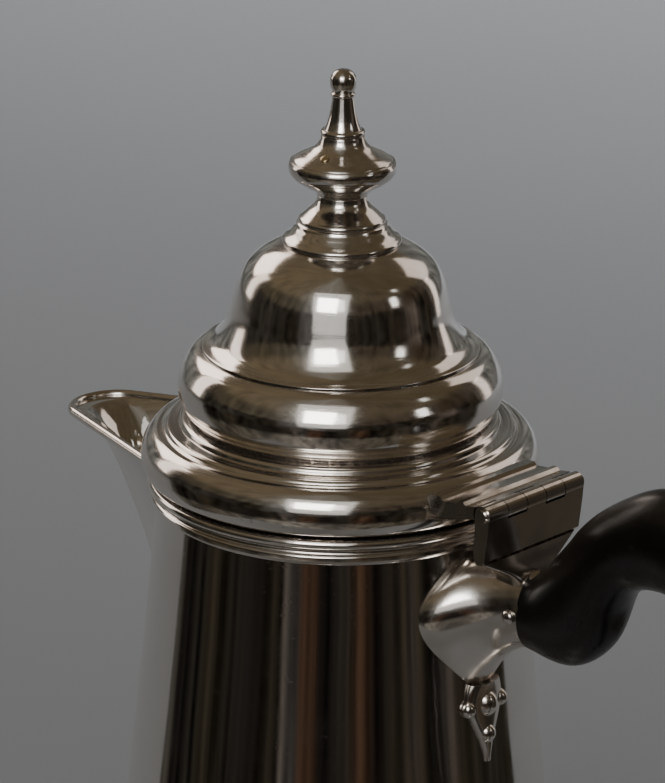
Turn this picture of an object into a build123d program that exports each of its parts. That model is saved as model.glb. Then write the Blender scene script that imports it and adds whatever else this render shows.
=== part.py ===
from build123d import *
import math
import os

# Silver coffee pot: tapered body on a spread foot, beak spout, domed hinged lid, wooden scroll handle.
# Millimetres, +Z up. Origin: centre of the foot, on the table. Handle toward +X, spout toward -X.

# ---- overall sizes ----
rim_height = 152.0          # top of the body, where the lid rests
belt_radius = 45.0          # widest part of the lid
neck_radius = 41.5          # outside of the body wall just below the rim
base_radius = 56.4          # outside of the body wall at the foot
foot_radius = 60.5          # bottom edge of the foot
foot_height = 8.0           # foot underside to the bottom edge of the body wall
wall = 1.3                  # raised silver sheet
lid_wall = 1.2

# ---- clearances ----
seat_gap = 0.3              # lid underside above the body rim
bezel_clearance = 0.7       # lid bezel inside the body mouth
hinge_bore_clearance = 0.05
knuckle_gap = 0.2
knuckle_relief = 0.35       # leaf plates around the other leaf's knuckles
tenon_clearance = 0.1

# ---- body rim moulding ----
rim_moulding_height = 6.3
rim_bead_radius = 43.6
rim_fillet_radius = 42.9

# ---- lid, heights above the body rim ----
belt_height = 5.3           # middle of the half-round belt
belt_top_height = 11.0
flange_waist_radius = 33.6
flange_waist_height = 14.4
bulge_radius = 36.6
bulge_height = 21.4
dome_foot_radius = 31.2
dome_foot_height = 29.8
dome_shoulder_radius = 23.0
dome_shoulder_height = 45.6
dome_top_radius = 13.2
dome_top_height = 54.4
bezel_depth = 4.0

# ---- finial ----
finial_foot_radius = 13.2
finial_neck_radius = 5.55
finial_neck_height = 64.9
knop_radius = 12.05
knop_height = 71.9
spire_ring_radius = 4.95
spire_ring_height = 79.4
ball_radius = 2.95
ball_height = 90.9
stud_radius = 1.4
nut_radius = 4.0
nut_thickness = 2.2
plug_radius = 0.95
plug_angle = -75.0

# ---- spout ----
spout_reach = 86.5          # axis to the tip
spout_root_half_width = 22.5
spout_tip_radius = 10.5
spout_rise = 2.2            # rim height gained between the body and the tip
spout_wire_radius = 1.15
spout_root_height = 76.0    # where the keel dies into the body wall
strainer_hole_radius = 1.5
strainer_pitch = 4.6

# ---- hinge ----
hinge_x = 57.0
hinge_height = 161.0
hinge_half_width = 15.5
barrel_radius = 2.15
hinge_pin_radius = 0.9
knuckle_count = 5
leaf_inner_x = 41.2

# ---- handle and sockets ----
socket_end_x = 61.6
socket_end_height = 18.4
socket_end_width = 13.4
socket_mid_z = 136.0
socket_wall = 1.5
socket_end_hollow = 24.0    # radius of the curved end edge seen from the side
lower_socket_z = 47.0
lower_socket_end_x = 67.5
lower_socket_height = 15.0
lower_socket_width = 11.5
rivet_radius = 1.0
rivet_head_radius = 1.6


def P(r, z):
    return Vector(r, 0, z)


def L(r, z):
    """Point on a lid profile: height counted from the body rim."""
    return Vector(r, 0, rim_height + z)


def turned(*edges):
    """Solid turned about the vertical axis from a closed profile."""
    return revolve(make_face(Wire(list(edges))), Axis.Z)


def turned_polygon(points):
    return revolve(make_face(Polyline(*points, close=True)), Axis.Z)


def body_radius(z):
    """Outside radius of the body wall at a height: a slightly hollow taper."""
    t = (rim_height - rim_moulding_height - z) / (rim_height - rim_moulding_height - foot_height)
    t = min(max(t, 0.0), 1.0)
    return neck_radius + (base_radius - neck_radius) * (0.86 * t + 0.14 * t * t)


def body_wall_curve(inset):
    heights = [foot_height, 60.0, 100.0, rim_height - rim_moulding_height]
    return Spline(*[P(body_radius(z) - inset, z) for z in heights])


def body_blank(inset):
    """Solid as wide as the body wall (less the inset), up to the rim."""
    curve = body_wall_curve(inset)
    top = P(neck_radius - inset, rim_height)
    return turned(
        Line(P(0, foot_height), curve @ 0),
        curve,
        Line(curve @ 1, top),
        Line(top, P(0, rim_height)),
        Line(P(0, rim_height), P(0, foot_height)),
    )


# ================= body =================
outside = body_blank(0)
inside = body_blank(wall)
body_shell = outside - inside

# strainer: rows of holes pierced through the wall behind the spout
for row in range(6):
    z = rim_height - 14 - row * strainer_pitch * math.cos(math.pi / 6)
    count = 6 - row
    for i in range(count):
        y = (i - (count - 1) / 2) * strainer_pitch
        angle = 180 - math.degrees(y / body_radius(z))
        hole = Pos(0, 0, z) * Rot(0, 0, angle) * Pos(body_radius(z), 0, 0) * Rot(0, 90, 0)
        body_shell -= hole * Cylinder(strainer_hole_radius, 8)

rim_z = rim_height
body_rim = turned(
    Line(P(neck_radius, rim_z), P(rim_bead_radius - 1.2, rim_z)),
    ThreePointArc(
        P(rim_bead_radius - 1.2, rim_z),
        P(rim_bead_radius, rim_z - 1.1),
        P(rim_bead_radius - 1.1, rim_z - 2.2),
    ),
    ThreePointArc(
        P(rim_bead_radius - 1.1, rim_z - 2.2),
        P(neck_radius + 0.6, rim_z - 3.0),
        P(rim_fillet_radius - 0.2, rim_z - 3.8),
    ),
    Line(P(rim_fillet_radius - 0.2, rim_z - 3.8), P(rim_fillet_radius, rim_z - 4.1)),
    Line(P(rim_fillet_radius, rim_z - 4.1), P(rim_fillet_radius, rim_z - 5.1)),
    ThreePointArc(
        P(rim_fillet_radius, rim_z - 5.1),
        P(neck_radius + 0.5, rim_z - 5.6),
        P(neck_radius, rim_z - rim_moulding_height),
    ),
    Line(P(neck_radius, rim_z - rim_moulding_height), P(neck_radius, rim_z)),
)

foot_ring = turned(
    Line(P(foot_radius - 1.6, 0), P(foot_radius, 0)),
    Line(P(foot_radius, 0), P(foot_radius, 1.5)),
    ThreePointArc(P(foot_radius, 1.5), P(foot_radius - 0.5, 2.2), P(foot_radius - 1.2, 2.3)),
    ThreePointArc(
        P(foot_radius - 1.2, 2.3),
        P(foot_radius - 2.9, 3.6),
        P(foot_radius - 3.2, 5.6),
    ),
    Line(P(foot_radius - 3.2, 5.6), P(foot_radius - 2.7, 5.7)),
    ThreePointArc(
        P(foot_radius - 2.7, 5.7),
        P(foot_radius - 2.0, 6.8),
        P(foot_radius - 2.7, foot_height),
    ),
    Line(P(foot_radius - 2.7, foot_height), P(base_radius - wall - 1.5, foot_height)),
    Line(P(base_radius - wall - 1.5, foot_height), P(base_radius - wall - 1.5, foot_height - 1.4)),
    Line(P(base_radius - wall - 1.5, foot_height - 1.4), P(foot_radius - 4.8, foot_height - 1.8)),
    Line(P(foot_radius - 4.8, foot_height - 1.8), P(foot_radius - 2.4, 1.8)),
    Line(P(foot_radius - 2.4, 1.8), P(foot_radius - 1.6, 0)),
)

base_plate_thickness = 1.4
base_plate_edge = body_radius(foot_height + base_plate_thickness) - wall
base_plate = turned(
    Line(P(0, foot_height + 1.0), P(8.0, foot_height + 1.0)),
    Spline(
        P(8.0, foot_height + 1.0),
        P(30.0, foot_height + 0.7),
        P(base_plate_edge - 8.0, foot_height),
        tangents=[(1, 0, 0), (1, 0, -0.02)],
    ),
    Line(P(base_plate_edge - 8.0, foot_height), P(base_plate_edge, foot_height)),
    Line(P(base_plate_edge, foot_height), P(base_plate_edge, foot_height + base_plate_thickness)),
    Line(
        P(base_plate_edge, foot_height + base_plate_thickness),
        P(0, foot_height + base_plate_thickness + 1.0),
    ),
    Line(P(0, foot_height + base_plate_thickness + 1.0), P(0, foot_height + 1.0)),
)

# ================= spout =================
spout_tilt = math.degrees(math.atan2(spout_rise, spout_reach - neck_radius))


def spout_section(z, reach, root_half_width, tip_radius, inset, tilt=0.0):
    """Rounded V seen from above, open end buried inside the body."""
    root_x = 30.0 - inset
    tip_x = reach - inset
    tip_r = max(tip_radius - inset, 0.8)
    half = root_half_width - inset
    centre = tip_x - tip_r
    run = centre - neck_radius
    lean = math.atan2(half - tip_r, run)
    touch = (centre + tip_r * math.sin(lean), tip_r * math.cos(lean))
    root_half = touch[1] + (touch[0] - root_x) * math.tan(lean)
    plane = Plane(origin=(0, 0, z), x_dir=(-1, 0, 0), z_dir=(0, 0, 1))
    if tilt:
        plane = Plane(origin=(0, 0, z), x_dir=(-1, 0, 0), z_dir=(0, 0, 1)).rotated((0, -tilt, 0))
    side_a = Line((root_x, root_half), touch)
    side_b = Line((touch[0], -touch[1]), (root_x, -root_half))
    tip = ThreePointArc(touch, (tip_x, 0), (touch[0], -touch[1]))
    back = Line((root_x, -root_half), (root_x, root_half))
    return [plane * edge for edge in (side_a, tip, side_b, back)]


def spout_levels():
    """Height, reach of the keel, half width at the wall and keel radius, from the rim down."""
    drop = rim_height - spout_root_height
    return [
        (rim_height, spout_reach, spout_root_half_width, spout_tip_radius),
        (rim_height - 0.075 * drop, spout_reach - 8.0, spout_root_half_width - 1.0, spout_tip_radius - 1.2),
        (rim_height - 0.18 * drop, spout_reach - 15.5, spout_root_half_width - 3.0, spout_tip_radius - 2.6),
        (rim_height - 0.33 * drop, spout_reach - 21.5, spout_root_half_width - 6.5, spout_tip_radius - 4.2),
        (rim_height - 0.55 * drop, spout_reach - 28.5, spout_root_half_width - 12.0, spout_tip_radius - 6.0),
        (rim_height - 0.80 * drop, spout_reach - 34.5, spout_root_half_width - 16.8, spout_tip_radius - 7.4),
        (rim_height - 1.02 * drop, spout_reach - 39.0, spout_root_half_width - 19.6, spout_tip_radius - 8.4),
    ]


def spout_body(inset, top_lift, bottom_drop):
    faces = []
    levels = spout_levels()
    for index, (z, reach, half, tip) in enumerate(levels):
        tilt = 0.0
        level = z
        if index == 0:
            tilt = spout_tilt
            level = z + top_lift
        if index == len(levels) - 1:
            level = z - bottom_drop
        faces.append(make_face(Wire(spout_section(level, reach, half, tip, inset, tilt))))
    return loft(faces[::-1])


spout_outer = spout_body(0, 0, 0)
spout_inner = spout_body(wall, 1.0, 1.0)
spout = spout_outer - spout_inner - outside - body_rim

rim_edges = spout_section(rim_height, spout_reach, spout_root_half_width, spout_tip_radius, wall / 2, spout_tilt)
rim_path = Wire(rim_edges[:3])
rim_start = Plane(origin=rim_path @ 0, z_dir=rim_path % 0)
spout_wire = sweep(rim_start * Circle(spout_wire_radius), path=rim_path)
spout_wire = spout_wire - outside - body_rim
spout = spout - spout_wire
spout = max(spout.solids(), key=lambda s: s.volume)
# keep the wire clear of the lid belt

# ================= handle sockets =================


def shield_section(x, top, bottom, half_width, wide_z):
    """Closed curve across the handle direction: rounded top, drawn-in bottom."""
    height = top - bottom
    upper = top - 0.12 * (top - wide_z)
    lower = wide_z - 0.62 * (wide_z - bottom)
    right = [
        (0.72 * half_width, upper - 0.1 * height),
        (half_width, wide_z),
        (0.62 * half_width, lower),
    ]
    left = [(-y, z) for y, z in reversed(right)]
    points = [(0, top)] + right + [(0, bottom)] + left
    return make_face(Wire([Spline(*[(x, y, z) for y, z in points], periodic=True)]))


def oval(x, z, height, width):
    plane = Plane(origin=(x, 0, z), x_dir=(0, 1, 0), z_dir=(1, 0, 0))
    return plane * Ellipse(width / 2, height / 2)


socket_top = rim_height - rim_moulding_height - 0.6
socket_end_top = socket_mid_z + socket_end_height / 2
socket_end_bottom = socket_mid_z - socket_end_height / 2
socket_drop_top = 112.5
socket_blank = loft(
    [
        shield_section(38.0, socket_top, socket_drop_top - 7, 15.6, 134.0),
        shield_section(44.5, socket_top - 0.1, socket_drop_top, 13.6, 134.5),
        shield_section(49.0, socket_top - 0.3, socket_drop_top + 7.0, 10.2, 135.0),
        shield_section(54.0, socket_top - 0.3, socket_end_bottom - 2.2, 7.6, 135.6),
        shield_section(socket_end_x, socket_end_top, socket_end_bottom, socket_end_width / 2, socket_mid_z),
    ]
)
end_cut = (
    Pos(socket_end_x + socket_end_hollow - 1.7, 0, socket_mid_z)
    * Rot(90, 0, 0)
    * Cylinder(socket_end_hollow, 60)
)
socket_blank = socket_blank - end_cut


def tenon(clearance, start_x, end_x, z, height, width):
    """Tapered oval peg of the handle, or the hollow that takes it."""
    return loft(
        [
            oval(start_x - clearance, z, 0.82 * height + 2 * clearance, 0.78 * width + 2 * clearance),
            oval(end_x, z, height + 2 * clearance, width + 2 * clearance),
        ]
    )


upper_tenon_height = socket_end_height - 2 * socket_wall
upper_tenon_width = socket_end_width - 2 * socket_wall
upper_tenon = tenon(0, 47.5, socket_end_x + 2, socket_mid_z, upper_tenon_height, upper_tenon_width)
upper_hollow = tenon(
    tenon_clearance, 47.5, socket_end_x + 2, socket_mid_z, upper_tenon_height, upper_tenon_width
)
handle_socket_upper = socket_blank - upper_hollow - outside - body_rim

# drop: cast pendant below the socket, flat against the wall
drop_top = socket_drop_top + 2.0
drop_bottom = drop_top - 19.0


def on_wall(z):
    return body_radius(z)


def bead(z, y, radius, height, proud):
    """Half-sunk oval bead standing proud of the body wall."""
    x = math.sqrt(on_wall(z) ** 2 - y ** 2)
    return Pos(x + proud - radius, y, z) * scale(Sphere(1), by=(radius, radius, height / 2))


drop_plate = loft(
    [
        Plane(origin=(on_wall(drop_top) + 0.2, 0, drop_top)) * Ellipse(2.4, 4.6),
        Plane(origin=(on_wall(drop_top - 5) + 0.1, 0, drop_top - 5)) * Ellipse(1.7, 5.4),
        Plane(origin=(on_wall(drop_top - 11), 0, drop_top - 11)) * Ellipse(1.5, 3.4),
        Plane(origin=(on_wall(drop_bottom), 0, drop_bottom)) * Ellipse(0.8, 0.9),
    ]
)
socket_drop = drop_plate + bead(drop_top - 5.2, 0, 2.7, 6.2, 3.4)
socket_drop += bead(drop_top - 12.4, 0, 2.1, 4.6, 2.5)
for side in (-1, 1):
    socket_drop += bead(drop_top - 5.6, side * 5.2, 1.7, 3.8, 2.2)
socket_drop = socket_drop - body_blank(-0.01) - socket_blank
socket_drop = max(socket_drop.solids(), key=lambda s: s.volume)

lower_wall = body_radius(lower_socket_z)
lower_socket_blank = loft(
    [
        oval(lower_wall - 4.0, lower_socket_z, lower_socket_height + 7.0, lower_socket_width + 7.0),
        oval(lower_wall + 2.0, lower_socket_z, lower_socket_height + 2.6, lower_socket_width + 2.6),
        oval(lower_wall + 7.0, lower_socket_z, lower_socket_height + 0.4, lower_socket_width + 0.4),
        oval(lower_socket_end_x, lower_socket_z, lower_socket_height + 0.8, lower_socket_width + 0.8),
    ]
)
lower_tenon_height = lower_socket_height - 2 * socket_wall + 0.4
lower_tenon_width = lower_socket_width - 2 * socket_wall + 0.4
lower_tenon_start = lower_wall + 2.5
lower_tenon = tenon(
    0, lower_tenon_start, lower_socket_end_x, lower_socket_z, lower_tenon_height, lower_tenon_width
)
lower_hollow = tenon(
    tenon_clearance,
    lower_tenon_start,
    lower_socket_end_x,
    lower_socket_z,
    lower_tenon_height,
    lower_tenon_width,
)
lower_band = (
    Pos(lower_socket_end_x - 1.4, 0, lower_socket_z)
    * Rot(0, 90, 0)
    * extrude(Ellipse(lower_socket_height / 2 + 1.1, lower_socket_width / 2 + 1.1), 1.4)
)
handle_socket_lower = lower_socket_blank + lower_band - lower_hollow - outside

# ================= handle =================


def handle_station(outer, inner, width):
    """Oval slice of the handle between a point on its outer and one on its inner edge."""
    ox, oz = outer
    ix, iz = inner
    centre = ((ox + ix) / 2, 0, (oz + iz) / 2)
    half = math.hypot(ox - ix, oz - iz) / 2
    across = Vector(ox - ix, 0, oz - iz).normalized()
    normal = across.cross(Vector(0, 1, 0))
    plane = Plane(origin=centre, x_dir=across, z_dir=normal)
    return plane * Ellipse(half, width / 2)


# outer edge, inner edge, thickness sideways; from the upper socket round to the lower one
handle_stations = [
    ((socket_end_x - 2.0, socket_end_top), (socket_end_x - 2.0, socket_end_bottom), socket_end_width),
    ((socket_end_x + 1.5, socket_end_top + 1.4), (socket_end_x + 3.5, socket_end_bottom - 0.7), 14.2),
    ((66.5, 151.2), (71.5, 126.4), 15.2),
    ((71.2, 157.2), (80.2, 132.6), 16.2),
    ((77.2, 163.6), (83.4, 140.4), 17.0),
    ((84.5, 168.8), (87.0, 147.6), 17.2),
    ((93.0, 172.8), (93.4, 150.4), 17.2),
    ((104.0, 172.0), (100.4, 150.0), 17.0),
    ((113.6, 165.2), (105.8, 146.0), 16.6),
    ((119.8, 154.0), (108.2, 139.6), 16.0),
    ((122.2, 138.0), (108.0, 130.4), 15.4),
    ((120.6, 118.0), (106.0, 113.2), 14.6),
    ((114.8, 97.0), (101.0, 93.4), 13.8),
    ((107.0, 77.0), (93.2, 76.2), 13.2),
    ((99.0, 58.0), (86.4, 64.0), 12.8),
    ((88.6, 41.8), (80.0, 57.4), 12.6),
    ((77.4, 36.4), (74.6, 54.8), 12.4),
    (
        (lower_socket_end_x, lower_socket_z - lower_socket_height / 2),
        (lower_socket_end_x, lower_socket_z + lower_socket_height / 2),
        lower_socket_width,
    ),
]
handle_line = Spline(
    *[
        P((outer[0] + inner[0]) / 2, (outer[1] + inner[1]) / 2)
        for outer, inner, width in handle_stations
    ]
)
handle_slices = [handle_station(*station) for station in handle_stations]
handle = sweep(sections=handle_slices, path=handle_line, multisection=True)
handle = handle - socket_blank
handle = handle + upper_tenon + lower_tenon
handle = handle - handle_socket_upper - handle_socket_lower


def rivet(x, z, width):
    """Cross rivet with a low domed head each side."""
    shank = Pos(x, 0, z) * Rot(90, 0, 0) * Cylinder(rivet_radius, width + 0.6)
    for side in (-1, 1):
        dome = Pos(x, side * (width / 2 - 0.2), z) * scale(Sphere(1), by=(rivet_head_radius, 1.0, rivet_head_radius))
        shank += dome
    return shank


upper_rivet_x = 57.6
upper_rivet_width = 14.4
handle_pin_upper = rivet(upper_rivet_x, socket_mid_z - 0.6, upper_rivet_width)
lower_rivet_x = 61.5
handle_pin_lower = rivet(lower_rivet_x, lower_socket_z, lower_socket_width + 0.8)
handle_socket_upper = handle_socket_upper - handle_pin_upper
handle_socket_lower = handle_socket_lower - handle_pin_lower
handle = handle - handle_pin_upper - handle_pin_lower

# ================= hinge =================
hinge_width = 2 * hinge_half_width
knuckle_width = hinge_width / knuckle_count
barrel_axis = Pos(hinge_x, 0, hinge_height) * Rot(90, 0, 0)


def knuckle(index, radius, extra):
    """Short cylinder on the pin axis for one knuckle position, counted from -Y."""
    y = -hinge_half_width + (index + 0.5) * knuckle_width
    return Pos(0, y, 0) * barrel_axis * Cylinder(radius, knuckle_width + extra)


pin_shank = barrel_axis * Cylinder(hinge_pin_radius, hinge_width + 1.0)
hinge_pin = pin_shank
for side in (-1, 1):
    head = Pos(hinge_x, side * (hinge_half_width + 0.35), hinge_height) * Rot(90, 0, 0)
    hinge_pin += head * Cylinder(1.5, 0.7)
bore = barrel_axis * Cylinder(hinge_pin_radius + hinge_bore_clearance, hinge_width + 2)

lower_leaf_bottom = 149.6
lower_leaf_profile = Polyline(
    P(hinge_x - 2.0, hinge_height - 0.5),
    P(hinge_x + 2.0, hinge_height - 0.5),
    P(hinge_x + 1.7, hinge_height - 4.0),
    P(hinge_x + 0.9, lower_leaf_bottom + 0.9),
    P(hinge_x + 0.1, lower_leaf_bottom),
    P(hinge_x - 1.5, lower_leaf_bottom),
    P(hinge_x - 2.1, lower_leaf_bottom + 1.2),
    close=True,
)
lower_leaf_plate = extrude(make_face(lower_leaf_profile), hinge_half_width, dir=(0, 1, 0), both=True)
hinge_lower_leaf = lower_leaf_plate
for index in range(knuckle_count):
    if index % 2 == 0:
        hinge_lower_leaf += knuckle(index, barrel_radius, -knuckle_gap)
    else:
        hinge_lower_leaf -= knuckle(index, barrel_radius + knuckle_relief, knuckle_gap)
hinge_lower_leaf -= bore

hinge_stand = loft(
    [
        Plane(origin=(hinge_x - 2.5, 0, socket_mid_z + 2.0)) * RectangleRounded(9.0, 8.0, 2.5),
        Plane(origin=(hinge_x - 1.6, 0, socket_end_top - 0.6)) * RectangleRounded(7.6, 14.0, 2.2),
        Plane(origin=(hinge_x - 1.0, 0, lower_leaf_bottom - 1.8)) * RectangleRounded(4.4, 24.0, 1.4),
        Plane(origin=(hinge_x - 0.7, 0, lower_leaf_bottom)) * RectangleRounded(2.6, 30.0, 1.0),
    ]
)
hinge_stand = hinge_stand - socket_blank - outside - handle_socket_upper - upper_hollow - handle
hinge_stand = max(hinge_stand.solids(), key=lambda s: s.volume)

# ================= lid =================
flange_bottom = L(38.4, seat_gap)
flange_outline = [
    Line(L(38.4, seat_gap), L(belt_radius - 3.0, seat_gap)),
    ThreePointArc(
        L(belt_radius - 3.0, seat_gap),
        L(belt_radius, belt_height),
        L(belt_radius - 3.7, belt_top_height),
    ),
    Line(L(belt_radius - 3.7, belt_top_height), L(39.6, belt_top_height + 0.5)),
    ThreePointArc(
        L(39.6, belt_top_height + 0.5), L(38.9, belt_top_height + 1.2), L(37.9, belt_top_height + 1.4)
    ),
    Line(L(37.9, belt_top_height + 1.4), L(36.4, belt_top_height + 1.6)),
    Line(L(36.4, belt_top_height + 1.6), L(36.2, belt_top_height + 2.2)),
    ThreePointArc(
        L(36.2, belt_top_height + 2.2),
        L(35.4, belt_top_height + 2.9),
        L(flange_waist_radius, flange_waist_height),
    ),
    Spline(
        L(flange_waist_radius, flange_waist_height),
        L(35.6, 16.9),
        L(bulge_radius, bulge_height),
        L(35.6, 25.5),
        L(33.6, 28.5),
        L(dome_foot_radius + 0.2, dome_foot_height),
    ),
    Line(L(dome_foot_radius + 0.2, dome_foot_height), L(dome_foot_radius - 1.8, dome_foot_height)),
    Spline(
        L(dome_foot_radius - 1.8, dome_foot_height),
        L(33.2, 27.0),
        L(bulge_radius - lid_wall - 0.2, bulge_height),
        L(34.0, 17.4),
        L(32.4, 14.0),
    ),
    Spline(L(32.4, 14.0), L(34.0, 11.6), L(38.0, 9.4), L(38.4, 7.0)),
    Line(L(38.4, 7.0), L(38.4, seat_gap)),
]
lid_flange = turned(*flange_outline)

bezel_outer = neck_radius - wall - bezel_clearance
lid_bezel = turned_polygon(
    [
        L(38.4, 4.0),
        L(38.4, seat_gap),
        L(bezel_outer, seat_gap),
        L(bezel_outer - 0.1, seat_gap - 1.0),
        L(bezel_outer - 0.5, -bezel_depth),
        L(bezel_outer - 1.6, -bezel_depth),
        L(37.2, 0.5),
        L(37.2, 4.0),
    ]
)

dome_outer = Spline(
    L(dome_foot_radius, dome_foot_height),
    L(28.6, 31.7),
    L(26.3, 34.6),
    L(24.9, 37.8),
    L(24.1, 41.4),
    L(dome_shoulder_radius, dome_shoulder_height),
    L(21.3, 49.0),
    L(18.6, 51.6),
    L(dome_top_radius, dome_top_height),
    tangents=[(-1, 0, 0.35), (-1, 0, 0.22)],
)
dome_inner = Spline(
    L(dome_foot_radius - 1.8, dome_foot_height),
    L(27.4, 31.4),
    L(25.2, 34.2),
    L(23.7, 37.6),
    L(22.9, 41.2),
    L(dome_shoulder_radius - lid_wall - 0.1, dome_shoulder_height - 0.4),
    L(20.3, 48.0),
    L(17.8, 50.5),
    L(dome_top_radius - 0.4, dome_top_height - lid_wall),
    tangents=[(-1, 0, 0.6), (-1, 0, 0.22)],
)
lid_dome = turned(
    dome_outer,
    Line(L(dome_top_radius, dome_top_height), L(stud_radius + 0.1, dome_top_height)),
    Line(L(stud_radius + 0.1, dome_top_height), L(stud_radius + 0.1, dome_top_height - lid_wall)),
    Line(L(stud_radius + 0.1, dome_top_height - lid_wall), L(dome_top_radius - 0.4, dome_top_height - lid_wall)),
    dome_inner,
    Line(L(dome_foot_radius - 1.8, dome_foot_height), L(dome_foot_radius, dome_foot_height)),
)

# ---- finial: lower cup, knop, spire ----
neck_top = finial_neck_height + 0.4
stud_bore = stud_radius + 0.1
finial_base = turned(
    Line(L(stud_bore, dome_top_height), L(finial_foot_radius, dome_top_height)),
    ThreePointArc(
        L(finial_foot_radius, dome_top_height),
        L(finial_foot_radius + 0.1, dome_top_height + 0.8),
        L(finial_foot_radius - 0.4, dome_top_height + 1.4),
    ),
    Spline(
        L(finial_foot_radius - 0.4, dome_top_height + 1.4),
        L(11.5, dome_top_height + 2.5),
        L(10.3, dome_top_height + 4.0),
        L(10.1, dome_top_height + 4.5),
    ),
    Line(L(10.1, dome_top_height + 4.5), L(9.6, dome_top_height + 4.8)),
    ThreePointArc(
        L(9.6, dome_top_height + 4.8),
        L(9.7, dome_top_height + 5.5),
        L(9.2, dome_top_height + 6.0),
    ),
    Spline(
        L(9.2, dome_top_height + 6.0),
        L(8.2, dome_top_height + 6.9),
        L(6.6, dome_top_height + 8.4),
        L(5.8, finial_neck_height - 0.8),
        L(finial_neck_radius, neck_top),
    ),
    Line(L(finial_neck_radius, neck_top), L(stud_bore, neck_top)),
    Line(L(stud_bore, neck_top), L(stud_bore, dome_top_height)),
)
knop_top = spire_ring_height - 0.5
finial_knop = turned(
    Line(L(0, neck_top), L(finial_neck_radius, neck_top)),
    Spline(
        L(finial_neck_radius, neck_top),
        L(6.0, neck_top + 0.9),
        L(7.6, 67.2),
        L(9.9, 68.6),
        L(11.3, 69.8),
        L(knop_radius, knop_height),
        L(11.6, knop_height + 1.2),
    ),
    Line(L(11.6, knop_height + 1.2), L(11.1, knop_height + 1.3)),
    Spline(
        L(11.1, knop_height + 1.3),
        L(10.0, 74.1),
        L(8.0, 75.1),
        L(6.2, 76.2),
        L(5.2, 77.6),
        L(4.8, knop_top),
    ),
    Line(L(4.8, knop_top), L(0, knop_top)),
    Line(L(0, knop_top), L(0, neck_top)),
)
finial_spire = turned(
    Line(L(0, knop_top), L(spire_ring_radius - 0.3, knop_top)),
    ThreePointArc(
        L(spire_ring_radius - 0.3, knop_top),
        L(spire_ring_radius, spire_ring_height + 0.1),
        L(spire_ring_radius - 0.3, knop_top + 1.2),
    ),
    Line(L(spire_ring_radius - 0.3, knop_top + 1.2), L(4.15, knop_top + 1.3)),
    Spline(
        L(4.15, knop_top + 1.3),
        L(3.3, 82.4),
        L(2.75, 85.0),
        L(2.35, ball_height - 3.3),
    ),
    ThreePointArc(
        L(2.35, ball_height - 3.3),
        L(2.75, ball_height - 2.9),
        L(2.2, ball_height - 2.2),
    ),
    Line(L(2.2, ball_height - 2.2), L(0, ball_height - 2.0)),
    Line(L(0, ball_height - 2.0), L(0, knop_top)),
)
finial_ball = scale(Sphere(ball_radius), by=(1, 1, 0.95))
finial_spire += Pos(0, 0, rim_height + ball_height) * finial_ball

# vent plug let into the upper face of the knop
plug_place = Rot(0, 0, plug_angle) * Pos(8.0, 0, rim_height + 75.1) * Rot(0, 30, 0)
plug_cutter = plug_place * Cylinder(plug_radius, 2.4)
plug_body = plug_place * (Pos(0, 0, -0.45) * Cylinder(plug_radius, 1.5))
finial_knop = finial_knop - plug_cutter
finial_plug = plug_body + plug_place * (Pos(0, 0, 0.3) * scale(Sphere(1), by=(plug_radius, plug_radius, 0.25)))

stud_top = neck_top - 1.0
stud_bottom = dome_top_height - lid_wall - nut_thickness - 1.5
finial_stud = Pos(0, 0, rim_height + (neck_top + stud_bottom) / 2) * Cylinder(
    stud_radius, neck_top - stud_bottom
)
nut_z = rim_height + dome_top_height - lid_wall - nut_thickness
finial_nut = Pos(0, 0, nut_z) * extrude(RegularPolygon(nut_radius, 6), nut_thickness)
finial_nut -= Pos(0, 0, nut_z) * Cylinder(stud_radius, 3 * nut_thickness)

# ---- upper hinge leaf, soldered over the belt ----
leaf_top = hinge_height + 1.0
upper_leaf_profile = Polyline(
    P(leaf_inner_x, leaf_top - 0.9),
    P(leaf_inner_x + 0.9, leaf_top),
    P(leaf_inner_x + 3.6, leaf_top + 0.2),
    P(leaf_inner_x + 4.2, leaf_top - 0.5),
    P(leaf_inner_x + 8.4, leaf_top - 0.1),
    P(leaf_inner_x + 9.0, leaf_top + 0.7),
    P(leaf_inner_x + 10.2, leaf_top + 0.7),
    P(leaf_inner_x + 11.0, leaf_top + 0.1),
    P(hinge_x - 1.2, leaf_top + 0.7),
    P(hinge_x - 0.6, hinge_height - 1.2),
    P(hinge_x - 3.2, hinge_height - 1.6),
    P(leaf_inner_x + 5.0, hinge_height - 3.6),
    P(leaf_inner_x, hinge_height - 3.2),
    close=True,
)
hinge_upper_leaf = extrude(make_face(upper_leaf_profile), hinge_half_width - 0.05, dir=(0, 1, 0), both=True)
for index in range(knuckle_count):
    if index % 2 == 1:
        hinge_upper_leaf += knuckle(index, barrel_radius, -knuckle_gap)
    else:
        hinge_upper_leaf -= knuckle(index, barrel_radius + knuckle_relief, knuckle_gap)
hinge_upper_leaf -= bore
hinge_upper_leaf -= lid_flange
hinge_upper_leaf = max(hinge_upper_leaf.solids(), key=lambda s: s.volume)

# ================= write one file per piece =================
pieces = {
    "body_shell": body_shell,
    "body_rim": body_rim,
    "foot_ring": foot_ring,
    "base_plate": base_plate,
    "spout": spout,
    "spout_wire": spout_wire,
    "handle_socket_upper": handle_socket_upper,
    "socket_drop": socket_drop,
    "handle_socket_lower": handle_socket_lower,
    "handle": handle,
    "handle_pin_upper": handle_pin_upper,
    "handle_pin_lower": handle_pin_lower,
    "hinge_lower_leaf": hinge_lower_leaf,
    "hinge_stand": hinge_stand,
    "hinge_pin": hinge_pin,
    "lid_flange": lid_flange,
    "lid_bezel": lid_bezel,
    "lid_dome": lid_dome,
    "hinge_upper_leaf": hinge_upper_leaf,
    "finial_base": finial_base,
    "finial_knop": finial_knop,
    "finial_spire": finial_spire,
    "finial_plug": finial_plug,
    "finial_stud": finial_stud,
    "finial_nut": finial_nut,
}
os.makedirs("parts", exist_ok=True)
for name, piece in pieces.items():
    export_step(piece, f"parts/{name}.step")
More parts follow.
